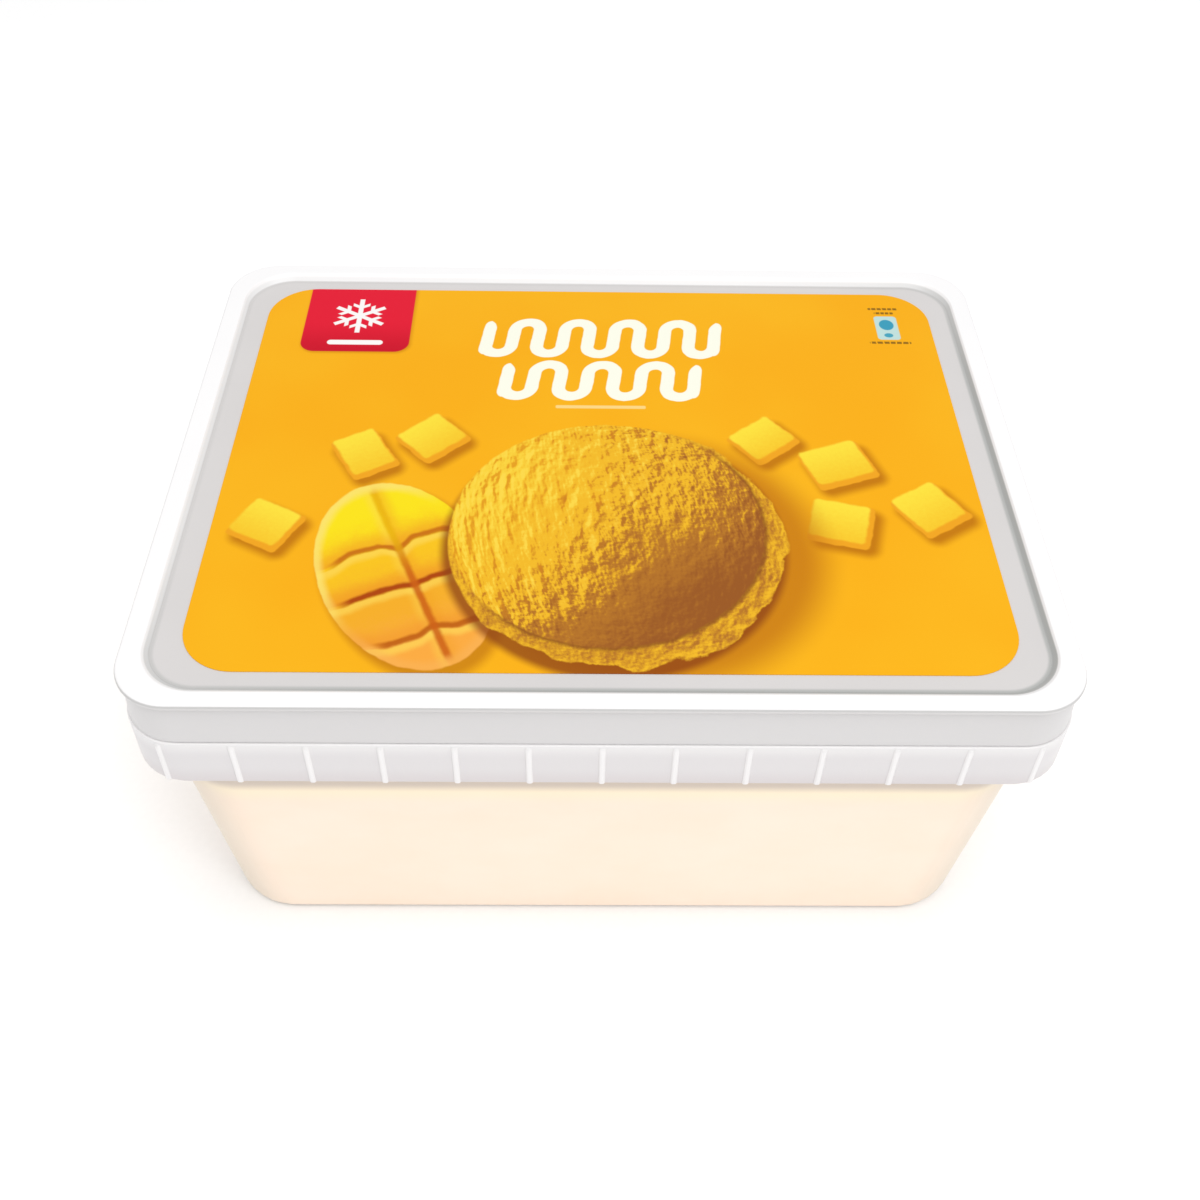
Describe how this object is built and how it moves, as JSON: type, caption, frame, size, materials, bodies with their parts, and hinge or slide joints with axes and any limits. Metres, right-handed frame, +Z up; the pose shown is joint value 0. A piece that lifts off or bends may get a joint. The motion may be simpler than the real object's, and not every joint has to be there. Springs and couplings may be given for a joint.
{
  "type": "ice cream tub",
  "caption": "Shut family ice cream tub: tapered plastic tub with a ribbed collar, a push-on lid with a raised rim and sunk panel, and a printed label on the lid",
  "frame": {"origin": "middle of the foot that the tub stands on, centred under its overall box", "axes": "+X along the long side, +Y from the front to the back, +Z up through the lid"},
  "size_m": [0.182, 0.14, 0.0842],
  "materials": {
    "tub_plastic": "translucent natural plastic with cream showing through, whiter on the collar",
    "lid_plastic": "white moulded plastic, soft gloss",
    "label_print": "thin printed film in mango yellow, satin varnish"
  },
  "bodies": {
    "root": {"tub": "tub_plastic", "lid": "lid_plastic", "label": "label_print"}
  },
  "joints": []
}
